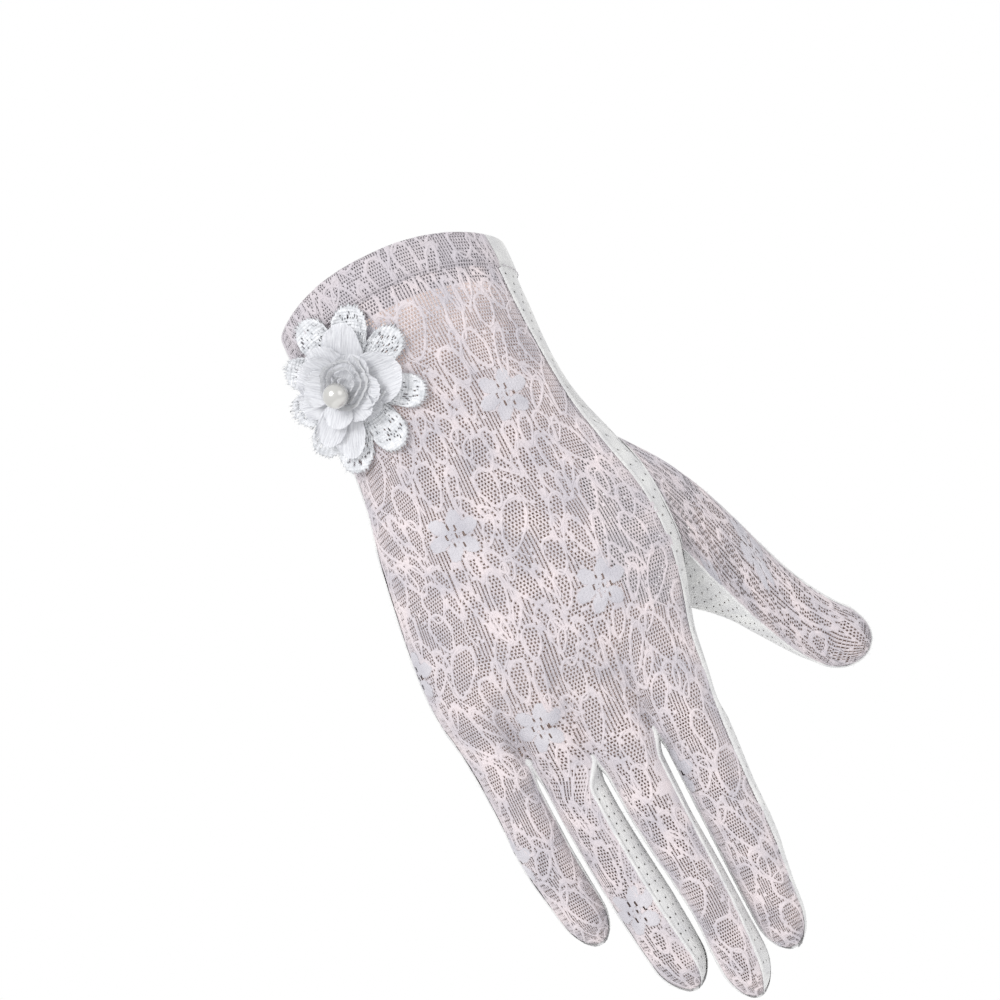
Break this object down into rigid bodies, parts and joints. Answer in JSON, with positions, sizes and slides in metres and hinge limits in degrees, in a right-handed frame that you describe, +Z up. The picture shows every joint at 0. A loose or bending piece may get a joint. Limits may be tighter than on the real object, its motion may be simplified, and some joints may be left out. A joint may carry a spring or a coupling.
{
  "type": "lace dress glove, right hand",
  "caption": "Full-fingered right-hand dress glove of lace with knit palm and fourchettes, folded hem and a layered fabric flower with a pearl on the cuff, in its worn form.",
  "frame": {"origin": "centre of the wrist opening, between the two edges of the cuff", "axes": "+Z points up the arm and out of the glove, -Z down to the fingertips, +X to the thumb's side, -Y is the way the back of the hand faces"},
  "size_m": [0.1248, 0.0524, 0.2426],
  "materials": {
    "lace": "pale grey-lilac raschel lace with dense flowers and open net",
    "lace_hem": "the same lace folded double and stitched",
    "knit_mesh": "fine off-white tricot with rows of pin-holes",
    "guipure": "dense embroidered lace with a notched edge",
    "chiffon": "thin white petals with a faint sheen and frayed ends",
    "organza": "crisp translucent ribbon, rolled",
    "pearl": "imitation pearl, satin gloss"
  },
  "bodies": {
    "root": {"hem_back": "lace_hem", "hem_palm": "knit_mesh", "back_lace": "lace", "palm_knit": "knit_mesh", "fourchette_little_ring": "knit_mesh", "fourchette_ring_middle": "knit_mesh", "fourchette_middle_index": "knit_mesh", "thumb_lace": "lace", "thumb_knit": "knit_mesh", "flower_guipure": "guipure", "flower_petals_large": "chiffon", "flower_petals_small": "chiffon", "flower_rosette": "organza", "flower_pearl": "pearl"}
  },
  "joints": []
}
